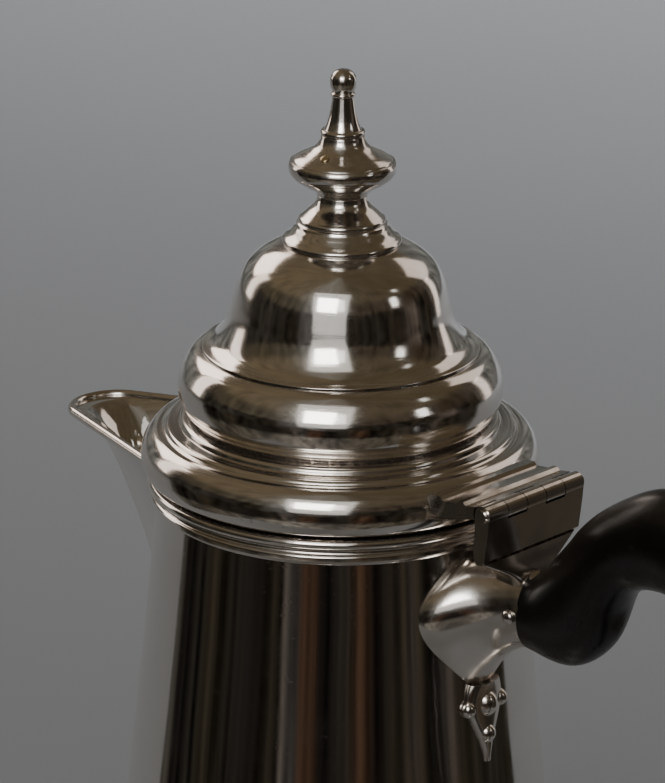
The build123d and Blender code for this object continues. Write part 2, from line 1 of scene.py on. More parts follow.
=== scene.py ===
import bpy
import bmesh
import math
from mathutils import Matrix, Vector, noise


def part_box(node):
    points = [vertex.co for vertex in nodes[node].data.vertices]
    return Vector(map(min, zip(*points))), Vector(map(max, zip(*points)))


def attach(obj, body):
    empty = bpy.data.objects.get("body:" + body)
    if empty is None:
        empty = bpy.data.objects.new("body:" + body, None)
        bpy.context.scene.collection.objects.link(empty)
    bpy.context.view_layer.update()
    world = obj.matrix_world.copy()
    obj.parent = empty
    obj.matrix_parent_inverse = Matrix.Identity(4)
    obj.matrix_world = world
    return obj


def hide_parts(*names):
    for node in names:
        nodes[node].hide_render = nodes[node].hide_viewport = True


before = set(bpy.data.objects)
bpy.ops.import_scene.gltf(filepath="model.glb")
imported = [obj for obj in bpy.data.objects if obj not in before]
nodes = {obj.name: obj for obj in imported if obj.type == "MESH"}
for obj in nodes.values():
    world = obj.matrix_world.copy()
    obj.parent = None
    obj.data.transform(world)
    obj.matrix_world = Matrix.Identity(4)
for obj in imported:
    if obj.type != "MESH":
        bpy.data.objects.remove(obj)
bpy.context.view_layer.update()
MM = 0.001

# heights and sizes the pieces are built from
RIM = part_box("body_rim")[1].z
FOOT_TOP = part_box("foot_ring")[1].z
FOOT_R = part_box("foot_ring")[1].x
BELT_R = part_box("lid_flange")[1].x
RIM_BEAD = 2.1 * MM  # the rim's bead stands this far out from the neck
NECK_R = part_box("body_rim")[1].x - RIM_BEAD
BASE_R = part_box("body_shell")[1].x
WALL = 1.3 * MM


# ---------------------------------------------------------------- mesh helpers


def through(points, steps):
    """Smooth line through points (Catmull-Rom, centripetal)."""
    pts = [Vector(p) for p in points]
    if len(pts) == 2:
        return [pts[0].lerp(pts[1], i / steps) for i in range(steps + 1)]
    pts = [pts[0] * 2 - pts[1]] + pts + [pts[-1] * 2 - pts[-2]]
    out = []
    for i in range(1, len(pts) - 2):
        p0, p1, p2, p3 = pts[i - 1 : i + 3]
        t0 = 0.0
        t1 = t0 + max((p1 - p0).length, 1e-9) ** 0.5
        t2 = t1 + max((p2 - p1).length, 1e-9) ** 0.5
        t3 = t2 + max((p3 - p2).length, 1e-9) ** 0.5
        for k in range(steps):
            t = t1 + (t2 - t1) * k / steps
            a1 = p0 * ((t1 - t) / (t1 - t0)) + p1 * ((t - t0) / (t1 - t0))
            a2 = p1 * ((t2 - t) / (t2 - t1)) + p2 * ((t - t1) / (t2 - t1))
            a3 = p2 * ((t3 - t) / (t3 - t2)) + p3 * ((t - t2) / (t3 - t2))
            b1 = a1 * ((t2 - t) / (t2 - t0)) + a2 * ((t - t0) / (t2 - t0))
            b2 = a2 * ((t3 - t) / (t3 - t1)) + a3 * ((t - t1) / (t3 - t1))
            out.append(b1 * ((t2 - t) / (t2 - t1)) + b2 * ((t - t1) / (t2 - t1)))
    out.append(pts[-2])
    return out


def outline(runs, spacing, edge):
    """Closed (radius, height) loop from smooth runs; corners between runs are eased by edge."""
    lines = []
    for run in runs:
        line = through([Vector((r, z, 0)) for r, z in run], 10)
        lines.append(line)
    corners = []
    for index, line in enumerate(lines):
        following = lines[(index + 1) % len(lines)]
        corners.append(line[-1].lerp(following[0], 0.5))
    out = []
    count = len(lines)
    for index, line in enumerate(lines):
        start = corners[index - 1]
        end = corners[index]
        line = [start] + line[1:-1] + [end]
        length = sum((b - a).length for a, b in zip(line, line[1:]))
        trim = min(edge, length * 0.3)
        on_axis_start = start.x < 1e-6
        on_axis_end = end.x < 1e-6
        a = 0.0 if on_axis_start else trim
        b = length if on_axis_end else length - trim
        n = max(1, int((b - a) / spacing))
        samples = [walk(line, a + (b - a) * i / n) for i in range(n + 1)]
        out += samples
        if not on_axis_end:
            following = lines[(index + 1) % count]
            rest = [corners[index]] + following[1:]
            reach = sum((q - p).length for p, q in zip(rest, rest[1:]))
            other = walk(rest, min(edge, reach * 0.3))
            for t in (0.25, 0.5, 0.75):
                p = samples[-1].lerp(end, t)
                q = end.lerp(other, t)
                out.append(p.lerp(q, t))
    return [(p.x, p.y) for p in out]


def walk(line, distance):
    """Point that lies this far along a line."""
    for a, b in zip(line, line[1:]):
        step = (b - a).length
        if distance <= step and step > 0:
            return a.lerp(b, distance / step)
        distance -= step
    return line[-1].copy()


def new_piece(name, verts, faces, body, material):
    """Smooth mesh piece riding on the pot or the lid."""
    mesh = bpy.data.meshes.new(name)
    mesh.from_pydata([tuple(v) for v in verts], [], faces)
    mesh.validate()
    bm = bmesh.new()
    bm.from_mesh(mesh)
    bmesh.ops.recalc_face_normals(bm, faces=bm.faces)
    bm.to_mesh(mesh)
    bm.free()
    for p in mesh.polygons:
        p.use_smooth = True
    piece = bpy.data.objects.new(name, mesh)
    bpy.context.scene.collection.objects.link(piece)
    mesh.materials.append(material)
    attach(piece, body)
    return piece


def turned(
    name, body, material, runs, spacing=0.35, edge=0.12, segments=256, ripple=0.0
):
    """Piece turned about the pot's axis, from runs in millimetres; ripple leaves hammer waves."""
    loop = outline([[(r * MM, z * MM) for r, z in run] for run in runs], spacing * MM, edge * MM)
    verts = []
    rings = []
    for r, z in loop:
        if r < 1e-6:
            rings.append([len(verts)])
            verts.append(Vector((0, 0, z)))
            continue
        rings.append(list(range(len(verts), len(verts) + segments)))
        for k in range(segments):
            a = 2 * math.pi * k / segments
            wave = 0.0
            if ripple:
                spot = Vector((math.cos(a) * 1.7, math.sin(a) * 1.7, z * 28))
                wave = ripple * MM * noise.noise(spot)
            verts.append(Vector(((r + wave) * math.cos(a), (r + wave) * math.sin(a), z)))
    faces = []
    for i, ring in enumerate(rings):
        other = rings[(i + 1) % len(rings)]
        if len(ring) == 1 and len(other) == 1:
            continue
        for k in range(segments):
            j = (k + 1) % segments
            if len(ring) == 1:
                faces.append((ring[0], other[k], other[j]))
            elif len(other) == 1:
                faces.append((ring[k], other[0], ring[j]))
            else:
                faces.append((ring[k], other[k], other[j], ring[j]))
    return new_piece(name, verts, faces, body, material)


def soften(obj, angle=28):
    """Smooth shading on a node that keeps its drawn edges sharp."""
    for p in obj.data.polygons:
        p.use_smooth = True
    limit = math.radians(angle)
    bm = bmesh.new()
    bm.from_mesh(obj.data)
    sharp = set()
    for e in bm.edges:
        if len(e.link_faces) == 2 and e.calc_face_angle(0) > limit:
            sharp.add(e.index)
    bm.free()
    for e in obj.data.edges:
        e.use_edge_sharp = e.index in sharp


# ---------------------------------------------------------------- materials


def group(name, inputs, outputs):
    """Empty shader node group with named sockets."""
    tree = bpy.data.node_groups.new(name, "ShaderNodeTree")
    for label, kind, value in inputs:
        s = tree.interface.new_socket(name=label, in_out="INPUT", socket_type=kind)
        if value is not None:
            s.default_value = value
    for label, kind in outputs:
        tree.interface.new_socket(name=label, in_out="OUTPUT", socket_type=kind)
    gin = tree.nodes.new("NodeGroupInput")
    gout = tree.nodes.new("NodeGroupOutput")
    return tree, gin, gout


def node(tree, kind, inputs=None, **props):
    """Node whose inputs are sockets to join or plain values."""
    n = tree.nodes.new(kind)
    for key, value in props.items():
        setattr(n, key, value)
    for key, value in (inputs or {}).items():
        if isinstance(value, bpy.types.NodeSocket):
            tree.links.new(value, n.inputs[key])
        else:
            n.inputs[key].default_value = value
    return n


def maths(tree, operation, *values, clamp=False):
    """Result of a Math node fed by sockets or plain numbers."""
    inputs = dict(enumerate(values))
    return node(tree, "ShaderNodeMath", inputs, operation=operation, use_clamp=clamp).outputs[0]


def fit(tree, value, low, high, to_low=0.0, to_high=1.0):
    """Value carried smoothly from one range to another."""
    n = node(
        tree,
        "ShaderNodeMapRange",
        {"Value": value, "From Min": low, "From Max": high, "To Min": to_low, "To Max": to_high},
        interpolation_type="SMOOTHSTEP",
    )
    return n.outputs["Result"]


def mix_colour(tree, factor, a, b):
    """Colour a where factor is 0 and b where it is 1."""
    n = node(tree, "ShaderNodeMix", data_type="RGBA")
    for label, value in (("Factor", factor), ("A", a), ("B", b)):
        if isinstance(value, bpy.types.NodeSocket):
            tree.links.new(value, n.inputs[label])
        else:
            n.inputs[label].default_value = value
    return n.outputs["Result"]


def clouds(tree, place, scale, detail, roughness=0.5):
    """Soft mottling from 0 to 1."""
    inputs = {"Vector": place, "Scale": scale, "Detail": detail, "Roughness": roughness}
    return node(tree, "ShaderNodeTexNoise", inputs).outputs["Fac"]


def rgba(r, g, b):
    return (r, g, b, 1.0)


def make_scratches():
    """Hairline scratches in all directions, and the finer ones that polishing leaves round it."""
    tree, gin, gout = group(
        "fine_scratches",
        [
            ("Hairlines", "NodeSocketFloat", 0.5),
            ("Turning Lines", "NodeSocketFloat", 0.5),
            ("Size", "NodeSocketFloat", 1.0),
        ],
        [("Height", "NodeSocketFloat"), ("Mask", "NodeSocketFloat")],
    )
    place = node(tree, "ShaderNodeTexCoord").outputs["Object"]
    parts = node(tree, "ShaderNodeSeparateXYZ", {0: place})
    total = None
    for turn, tilt, seed in ((0.4, 1.1, 3.0), (1.9, 0.4, 11.0), (2.7, 2.0, 23.0), (0.9, 2.6, 31.0)):
        mapped = node(
            tree,
            "ShaderNodeMapping",
            {"Vector": place, "Rotation": (turn, tilt, seed), "Scale": (26.0, 900.0, 900.0)},
        ).outputs[0]
        warp = clouds(tree, mapped, 1.0, 1.0, 0.4)
        line = fit(tree, warp, 0.70, 0.78)
        total = line if total is None else maths(tree, "MAXIMUM", total, line)
    patch = clouds(tree, place, 38.0, 3.0)
    patch = fit(tree, patch, 0.42, 0.62)
    hair = maths(tree, "MULTIPLY", maths(tree, "MULTIPLY", total, patch), gin.outputs["Hairlines"])
    radius = maths(
        tree,
        "SQRT",
        maths(
            tree,
            "ADD",
            maths(tree, "MULTIPLY", parts.outputs[0], parts.outputs[0]),
            maths(tree, "MULTIPLY", parts.outputs[1], parts.outputs[1]),
        ),
    )
    angle = maths(tree, "ARCTAN2", parts.outputs[1], parts.outputs[0])
    ringed = node(
        tree,
        "ShaderNodeCombineXYZ",
        {
            0: maths(tree, "MULTIPLY", radius, 5200.0),
            1: maths(tree, "MULTIPLY", angle, 5.0),
            2: maths(tree, "MULTIPLY", parts.outputs[2], 5200.0),
        },
    ).outputs[0]
    lines = clouds(tree, ringed, 1.0, 2.0, 0.6)
    lines = maths(tree, "MULTIPLY", fit(tree, lines, 0.5, 0.8), gin.outputs["Turning Lines"])
    height = maths(tree, "MULTIPLY", maths(tree, "ADD", hair, lines), gin.outputs["Size"])
    tree.links.new(height, gout.inputs["Height"])
    tree.links.new(maths(tree, "MAXIMUM", hair, lines), gout.inputs["Mask"])
    return tree


def make_tarnish():
    """Brown and rosy oxide: thin clouds on open faces, darker in hollows and along joints."""
    tree, gin, gout = group(
        "tarnish",
        [
            ("Clean Colour", "NodeSocketColor", rgba(0.9, 0.87, 0.82)),
            ("Film Colour", "NodeSocketColor", rgba(0.62, 0.50, 0.40)),
            ("Dirt Colour", "NodeSocketColor", rgba(0.10, 0.07, 0.05)),
            ("Film", "NodeSocketFloat", 0.4),
            ("Hollows", "NodeSocketFloat", 0.8),
            ("Specks", "NodeSocketFloat", 0.5),
            ("Reach", "NodeSocketFloat", 0.0012),
        ],
        [("Colour", "NodeSocketColor"), ("Dull", "NodeSocketFloat")],
    )
    place = node(tree, "ShaderNodeTexCoord").outputs["Object"]
    cloud = clouds(tree, place, 46.0, 6.0, 0.62)
    broad = clouds(tree, place, 13.0, 2.0)
    film = maths(tree, "MULTIPLY", fit(tree, cloud, 0.38, 0.72), fit(tree, broad, 0.36, 0.64))
    film = maths(tree, "MULTIPLY", film, gin.outputs["Film"], clamp=True)
    shut = node(
        tree,
        "ShaderNodeAmbientOcclusion",
        {"Distance": gin.outputs["Reach"]},
        samples=6,
        only_local=False,
    ).outputs["AO"]
    hollow = fit(tree, shut, 0.92, 0.25)
    grit = clouds(tree, place, 900.0, 3.0, 0.7)
    hollow = maths(tree, "MULTIPLY", hollow, fit(tree, grit, 0.25, 0.6))
    hollow = maths(tree, "MULTIPLY", hollow, gin.outputs["Hollows"], clamp=True)
    speck = clouds(tree, place, 620.0, 2.0, 0.5)
    where = clouds(tree, place, 58.0, 2.0)
    speck = maths(tree, "MULTIPLY", fit(tree, speck, 0.64, 0.70), fit(tree, where, 0.60, 0.70))
    speck = maths(tree, "MULTIPLY", speck, gin.outputs["Specks"], clamp=True)
    colour = mix_colour(tree, film, gin.outputs["Clean Colour"], gin.outputs["Film Colour"])
    dirt = maths(tree, "MAXIMUM", hollow, speck)
    colour = mix_colour(tree, dirt, colour, gin.outputs["Dirt Colour"])
    tree.links.new(colour, gout.inputs["Colour"])
    dull = maths(tree, "MAXIMUM", maths(tree, "MULTIPLY", film, 0.4), dirt)
    tree.links.new(dull, gout.inputs["Dull"])
    return tree


SCRATCHES = make_scratches()
TARNISH = make_tarnish()


def place_group(tree, source, values):
    """One use of a shared group, with its own values."""
    n = tree.nodes.new("ShaderNodeGroup")
    n.node_tree = source
    for key, value in values.items():
        n.inputs[key].default_value = value
    return n


def silver(
    name,
    clean=(0.90, 0.865, 0.82),
    film=0.35,
    hollows=0.85,
    specks=0.35,
    hairlines=0.5,
    turning=0.5,
    polish=0.085,
    waves=0.25,
    wave_scale=34.0,
    reach=0.0016,
):
    """Worn hand-polished silver."""
    m = bpy.data.materials.new(name)
    m.use_nodes = True
    tree = m.node_tree
    tree.nodes.clear()
    out = node(tree, "ShaderNodeOutputMaterial")
    bsdf = node(tree, "ShaderNodeBsdfPrincipled", {"Metallic": 1.0})
    tree.links.new(bsdf.outputs[0], out.inputs[0])
    oxide = place_group(
        tree,
        TARNISH,
        {
            "Clean Colour": rgba(*clean),
            "Film": film,
            "Hollows": hollows,
            "Specks": specks,
            "Reach": reach,
        },
    )
    marks = place_group(tree, SCRATCHES, {"Hairlines": hairlines, "Turning Lines": turning})
    tree.links.new(oxide.outputs["Colour"], bsdf.inputs["Base Color"])
    place = node(tree, "ShaderNodeTexCoord").outputs["Object"]
    smear = clouds(tree, place, 90.0, 5.0, 0.6)
    rough = maths(tree, "MULTIPLY_ADD", fit(tree, smear, 0.35, 0.75), 0.05, polish)
    rough = maths(tree, "ADD", rough, maths(tree, "MULTIPLY", marks.outputs["Mask"], 0.10))
    dulled = maths(tree, "MULTIPLY", oxide.outputs["Dull"], 0.32)
    rough = maths(tree, "ADD", rough, dulled, clamp=True)
    tree.links.new(rough, bsdf.inputs["Roughness"])
    swell = clouds(tree, place, wave_scale, 1.5)
    low = node(tree, "ShaderNodeBump", {"Strength": waves, "Distance": 0.0006, "Height": swell})
    fine = node(
        tree,
        "ShaderNodeBump",
        {
            "Strength": 0.22,
            "Distance": 0.00003,
            "Height": marks.outputs["Height"],
            "Normal": low.outputs[0],
        },
    )
    fine.invert = True
    tree.links.new(fine.outputs[0], bsdf.inputs["Normal"])
    return m


def ebony(name):
    """Nearly black hardwood with a satin rub, fine grain and pale scuffs."""
    m = bpy.data.materials.new(name)
    m.use_nodes = True
    tree = m.node_tree
    tree.nodes.clear()
    out = node(tree, "ShaderNodeOutputMaterial")
    bsdf = node(
        tree,
        "ShaderNodeBsdfPrincipled",
        {"IOR": 1.5, "Coat Weight": 0.35, "Coat Roughness": 0.28, "Specular IOR Level": 0.5},
    )
    tree.links.new(bsdf.outputs[0], out.inputs[0])
    place = node(tree, "ShaderNodeTexCoord").outputs["Object"]
    grain_space = node(
        tree,
        "ShaderNodeMapping",
        {"Vector": place, "Rotation": (0.0, 0.35, 0.0), "Scale": (160.0, 900.0, 90.0)},
    ).outputs[0]
    grain = clouds(tree, grain_space, 1.0, 6.0, 0.62)
    pores = clouds(tree, grain_space, 5.0, 2.0, 0.5)
    broad = clouds(tree, place, 42.0, 4.0)
    tone = node(tree, "ShaderNodeValToRGB", {"Fac": grain})
    tone.color_ramp.elements[0].position = 0.32
    tone.color_ramp.elements[0].color = rgba(0.0035, 0.0032, 0.0034)
    tone.color_ramp.elements[1].position = 0.74
    tone.color_ramp.elements[1].color = rgba(0.014, 0.010, 0.0085)
    worn = fit(tree, broad, 0.50, 0.70, 0.0, 0.55)
    colour = mix_colour(tree, worn, tone.outputs[0], rgba(0.019, 0.013, 0.010))
    marks = place_group(tree, SCRATCHES, {"Hairlines": 1.0, "Turning Lines": 0.0, "Size": 1.0})
    scuff = clouds(tree, place, 480.0, 4.0, 0.7)
    scuff_area = clouds(tree, place, 70.0, 2.0)
    dusty = maths(tree, "MULTIPLY", fit(tree, scuff, 0.56, 0.72), fit(tree, scuff_area, 0.50, 0.66))
    scratched = maths(tree, "MULTIPLY", marks.outputs["Mask"], 0.35)
    colour = mix_colour(tree, maths(tree, "MULTIPLY", dusty, 0.35), colour, rgba(0.075, 0.068, 0.062))
    colour = mix_colour(tree, scratched, colour, rgba(0.07, 0.064, 0.058))
    tree.links.new(colour, bsdf.inputs["Base Color"])
    satin = fit(tree, broad, 0.3, 0.7, 0.24, 0.36)
    rough = maths(tree, "ADD", satin, maths(tree, "MULTIPLY", dusty, 0.25), clamp=True)
    tree.links.new(rough, bsdf.inputs["Roughness"])
    wood_bump = node(tree, "ShaderNodeBump", {"Strength": 0.35, "Distance": 0.00006, "Height": grain})
    pore_bump = node(
        tree,
        "ShaderNodeBump",
        {
            "Strength": 0.3,
            "Distance": 0.00005,
            "Height": fit(tree, pores, 0.30, 0.42),
            "Normal": wood_bump.outputs[0],
        },
    )
    tree.links.new(pore_bump.outputs[0], bsdf.inputs["Normal"])
    return m


BELT_SILVER = silver("silver_lid", film=0.40, hollows=0.9, specks=0.35, turning=0.55, waves=0.20)
DOME_SILVER = silver("silver_dome", film=0.45, specks=0.7, turning=0.4, waves=0.18)
FINIAL_SILVER = silver(
    "silver_finial", film=0.55, hollows=1.0, specks=0.6, turning=0.8, polish=0.10, waves=0.06
)
BODY_SILVER = silver(
    "silver_body",
    clean=(0.87, 0.85, 0.82),
    film=0.25,
    hollows=0.7,
    specks=0.15,
    hairlines=0.7,
    turning=0.12,
    polish=0.07,
    waves=0.5,
    wave_scale=22.0,
)
CAST_SILVER = silver(
    "silver_castings",
    film=0.55,
    hollows=1.0,
    specks=0.5,
    hairlines=0.7,
    turning=0.0,
    polish=0.12,
    waves=0.30,
    wave_scale=80.0,
    reach=0.0026,
)
INNER_SILVER = silver("silver_inside", film=0.7, hollows=0.6, specks=0.6, turning=0.2, polish=0.2)
PLUG_BRASS = silver(
    "plug_brass", clean=(0.80, 0.66, 0.40), film=0.4, hollows=0.8, turning=0.0, polish=0.22
)
EBONY = ebony("ebony")


# ---------------------------------------------------------------- turned pieces of the lid

rim = RIM / MM
belt = BELT_R / MM


def up(run):
    """Heights given above the rim, in millimetres."""
    return [(r, rim + z) for r, z in run]


lid_flange = turned(
    "lid_moulding",
    "lid",
    BELT_SILVER,
    [
        up([(38.4, 0.3), (belt - 3.0, 0.3)]),
        up([(belt - 3.0, 0.3), (belt - 1.0, 1.55), (belt - 0.1, 3.7), (belt - 0.02, 5.3),
            (belt - 0.35, 7.3), (belt - 1.3, 9.2), (belt - 2.6, 10.5), (belt - 3.7, 11.0)]),
        up([(belt - 3.7, 11.0), (40.4, 11.15), (39.6, 11.5)]),
        up([(39.6, 11.5), (39.35, 12.0), (38.9, 12.25), (38.3, 12.38), (37.9, 12.4)]),
        up([(37.9, 12.4), (36.4, 12.6)]),
        up([(36.4, 12.6), (36.2, 13.2)]),
        up([(36.2, 13.2), (36.0, 13.6), (35.4, 13.95), (34.6, 14.2), (33.6, 14.4)]),
        up([(33.6, 14.4), (34.6, 15.4), (35.6, 16.9), (36.3, 18.9), (36.6, 21.4), (36.3, 23.8),
            (35.6, 25.5), (34.7, 27.1), (33.6, 28.5), (32.5, 29.3), (31.4, 29.8)]),
        up([(31.4, 29.8), (29.4, 29.8)]),
        up([(29.4, 29.8), (33.2, 27.0), (35.2, 21.4), (34.0, 17.4), (32.4, 14.0)]),
        up([(32.4, 14.0), (34.0, 11.6), (38.0, 9.4), (38.4, 7.0)]),
        up([(38.4, 7.0), (38.4, 0.3)]),
    ],
    spacing=0.45,
    ripple=0.05,
    segments=288,
)
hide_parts("lid_flange")

lid_dome = turned(
    "lid_dome_shell",
    "lid",
    DOME_SILVER,
    [
        up([(29.4, 29.8), (31.2, 29.8)]),
        up([(31.2, 29.8), (31.15, 30.5)]),
        up([(31.15, 30.5), (29.6, 31.1), (28.0, 32.2), (26.3, 34.6), (24.9, 37.8), (24.1, 41.4),
            (23.0, 45.6), (21.3, 49.0), (18.6, 51.6), (15.6, 53.4), (13.2, 54.4)]),
        up([(13.2, 54.4), (1.5, 54.4)]),
        up([(1.5, 54.4), (1.5, 53.2)]),
        up([(1.5, 53.2), (12.8, 53.2)]),
        up([(12.8, 53.2), (17.8, 50.5), (20.3, 48.0), (21.7, 45.2), (22.9, 41.2), (23.7, 37.6),
            (25.2, 34.2), (27.4, 31.4), (29.4, 29.8)]),
    ],
    spacing=0.5,
    ripple=0.07,
)
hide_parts("lid_dome")

finial_base = turned(
    "finial_cup",
    "lid",
    FINIAL_SILVER,
    [
        up([(1.5, 54.4), (13.2, 54.4)]),
        up([(13.2, 54.4), (13.35, 54.8), (13.3, 55.3), (12.8, 55.8)]),
        up([(12.8, 55.8), (12.1, 56.3), (11.5, 56.9), (10.8, 57.8), (10.3, 58.4), (10.1, 58.9)]),
        up([(10.1, 58.9), (9.6, 59.2)]),
        up([(9.6, 59.2), (9.75, 59.5), (9.7, 59.9), (9.5, 60.2), (9.2, 60.4)]),
        up([(9.2, 60.4), (8.2, 61.3), (6.6, 62.8), (5.8, 64.1), (5.55, 65.3)]),
        up([(5.55, 65.3), (1.5, 65.3)]),
        up([(1.5, 65.3), (1.5, 54.4)]),
    ],
    spacing=0.25,
    edge=0.09,
    segments=160,
)
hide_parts("finial_base")

finial_knop = turned(
    "finial_button",
    "lid",
    FINIAL_SILVER,
    [
        up([(0, 65.3), (5.55, 65.3)]),
        up([(5.55, 65.3), (6.0, 66.2), (7.6, 67.2), (9.9, 68.6), (11.3, 69.8), (11.95, 71.1),
            (12.05, 71.9), (11.9, 72.6), (11.6, 73.1)]),
        up([(11.6, 73.1), (11.15, 73.1)]),
        up([(11.15, 73.1), (11.05, 73.35), (10.0, 74.1), (8.0, 75.1), (6.2, 76.2), (5.2, 77.6),
            (4.8, 78.9)]),
        up([(4.8, 78.9), (0, 78.9)]),
    ],
    spacing=0.25,
    edge=0.08,
    segments=160,
)
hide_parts("finial_knop")

finial_spire = turned(
    "finial_point",
    "lid",
    FINIAL_SILVER,
    [
        up([(0, 78.9), (4.65, 78.9)]),
        up([(4.65, 78.9), (4.9, 79.15), (4.95, 79.5), (4.9, 79.85), (4.65, 80.1)]),
        up([(4.65, 80.1), (4.15, 80.2)]),
        up([(4.15, 80.2), (3.7, 81.2), (3.3, 82.4), (2.95, 83.9), (2.7, 85.4), (2.35, 87.6)]),
        up([(2.35, 87.6), (2.65, 87.75), (2.75, 88.0), (2.65, 88.3), (2.2, 88.55)]),
        up([(2.2, 88.55), (2.75, 89.6), (2.95, 90.9), (2.75, 92.1), (2.15, 93.0), (1.2, 93.55),
            (0, 93.72)]),
    ],
    spacing=0.2,
    edge=0.08,
    segments=112,
)
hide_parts("finial_spire")

# ---------------------------------------------------------------- turned pieces of the body

neck = NECK_R / MM
base = BASE_R / MM
foot = FOOT_R / MM
foot_top = FOOT_TOP / MM
wall = WALL / MM
RIM_DEPTH = 6.3
wall_top = rim - RIM_DEPTH


def wall_radius(z):
    """Outer radius of the body at height z, straight with a slight swell to the foot."""
    t = min(max((wall_top - z) / (wall_top - foot_top), 0.0), 1.0)
    return neck + (base - neck) * (0.86 * t + 0.14 * t * t)


body_rim = turned(
    "rim_moulding",
    "pot",
    BELT_SILVER,
    [
        up([(neck, 0), (42.4, 0)]),
        up([(42.4, 0), (43.2, -0.3), (43.6, -1.1), (43.25, -1.9), (42.5, -2.2)]),
        up([(42.5, -2.2), (42.15, -2.6), (42.1, -3.0), (42.25, -3.45), (42.7, -3.8)]),
        up([(42.7, -3.8), (42.9, -4.1)]),
        up([(42.9, -4.1), (42.9, -5.1)]),
        up([(42.9, -5.1), (42.35, -5.3), (41.9, -5.7), (41.6, -6.1), (neck, -RIM_DEPTH)]),
        up([(neck, -RIM_DEPTH), (neck, 0)]),
    ],
    spacing=0.22,
    edge=0.1,
    segments=288,
)
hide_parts("body_rim")

foot_ring = turned(
    "foot_moulding",
    "pot",
    BELT_SILVER,
    [
        [(foot - 1.6, 0), (foot, 0)],
        [(foot, 0), (foot, 1.5)],
        [(foot, 1.5), (foot - 0.5, 2.2), (foot - 1.2, 2.3)],
        [(foot - 1.2, 2.3), (foot - 2.3, 2.9), (foot - 2.9, 3.8), (foot - 3.2, 5.6)],
        [(foot - 3.2, 5.6), (foot - 2.7, 5.7)],
        [(foot - 2.7, 5.7), (foot - 2.1, 6.2), (foot - 2.0, 6.8), (foot - 2.15, 7.5),
            (foot - 2.7, foot_top)],
        [(foot - 2.7, foot_top), (base - wall - 1.5, foot_top)],
        [(base - wall - 1.5, foot_top), (base - wall - 1.5, foot_top - 1.4)],
        [(base - wall - 1.5, foot_top - 1.4), (foot - 4.8, foot_top - 1.8)],
        [(foot - 4.8, foot_top - 1.8), (foot - 2.4, 1.8)],
        [(foot - 2.4, 1.8), (foot - 1.6, 0)],
    ],
    spacing=0.35,
    segments=288,
)
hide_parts("foot_ring")

heights = [foot_top, 24.0, 42.0, 60.0, 80.0, 100.0, 122.0, wall_top]
body_wall = turned(
    "body_wall",
    "pot",
    BODY_SILVER,
    [
        [(base - wall, foot_top), (base, foot_top)],
        [(wall_radius(z), z) for z in heights],
        [(neck, wall_top), (neck, rim)],
        [(neck, rim), (neck - wall, rim)],
        [(neck - wall, rim), (neck - wall, wall_top)],
        [(wall_radius(z) - wall, z) for z in reversed(heights)],
    ],
    spacing=1.1,
    edge=0.15,
    segments=288,
    ripple=0.10,
)
body_wall.data.materials.append(INNER_SILVER)
for p in body_wall.data.polygons:
    if p.normal.x * p.center.x + p.normal.y * p.center.y < -1e-4:
        p.material_index = 1

# strainer holes behind the spout
STRAINER_DEPTH = 14
STRAINER_ROWS = 6
STRAINER_PITCH = 4.6
STRAINER_HOLE_R = 1.5 * MM
bm = bmesh.new()
for row in range(STRAINER_ROWS):
    z = rim - STRAINER_DEPTH - row * STRAINER_PITCH * math.cos(math.pi / 6)
    count = STRAINER_ROWS - row
    for i in range(count):
        y = (i - (count - 1) / 2) * STRAINER_PITCH
        a = math.pi - y / wall_radius(z)
        r = wall_radius(z) * MM
        spot = Matrix.Translation((r * math.cos(a), r * math.sin(a), z * MM))
        turn = Matrix.Rotation(a, 4, "Z") @ Matrix.Rotation(math.pi / 2, 4, "Y")
        bmesh.ops.create_cone(
            bm,
            cap_ends=True,
            segments=24,
            radius1=STRAINER_HOLE_R,
            radius2=STRAINER_HOLE_R,
            depth=8 * MM,
            matrix=spot @ turn,
        )
cutter_mesh = bpy.data.meshes.new("strainer_cutter")
bm.to_mesh(cutter_mesh)
bm.free()
cutter = bpy.data.objects.new("strainer_cutter", cutter_mesh)
bpy.context.scene.collection.objects.link(cutter)
pierce = body_wall.modifiers.new("strainer", "BOOLEAN")
pierce.object = cutter
pierce.operation = "DIFFERENCE"
pierce.solver = "EXACT"
bpy.context.view_layer.update()
result = body_wall.evaluated_get(bpy.context.evaluated_depsgraph_get())
pierced = bpy.data.meshes.new_from_object(result)
body_wall.modifiers.clear()
body_wall.data = pierced
bpy.data.objects.remove(cutter)
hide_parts("body_shell")

# ---------------------------------------------------------------- CAD nodes that keep their shape

finish_of = {
    "base_plate": BODY_SILVER,
    "spout": BODY_SILVER,
    "spout_wire": BELT_SILVER,
    "handle_socket_upper": CAST_SILVER,
    "socket_drop": CAST_SILVER,
    "handle_socket_lower": CAST_SILVER,
    "handle": EBONY,
    "handle_pin_upper": CAST_SILVER,
    "handle_pin_lower": CAST_SILVER,
    "hinge_lower_leaf": CAST_SILVER,
    "hinge_stand": CAST_SILVER,
    "hinge_pin": CAST_SILVER,
    "hinge_upper_leaf": CAST_SILVER,
    "lid_bezel": INNER_SILVER,
    "finial_plug": PLUG_BRASS,
    "finial_stud": INNER_SILVER,
    "finial_nut": INNER_SILVER,
}
for name, finish in finish_of.items():
    o = nodes[name]
    o.data.materials.clear()
    o.data.materials.append(finish)
    soften(o)

# ---------------------------------------------------------------- camera

# the camera stands to the handle's near side; lamps and room are placed by their turn from it
TURN = math.radians(44.0)
TIP = math.radians(19.35)
LEAN = math.radians(0.5)
DISTANCE = 0.8145
AIM_RIGHT = -0.00167
AIM_UP = 0.0133
belt_middle = Vector((0, 0, RIM + 5.0 * MM))

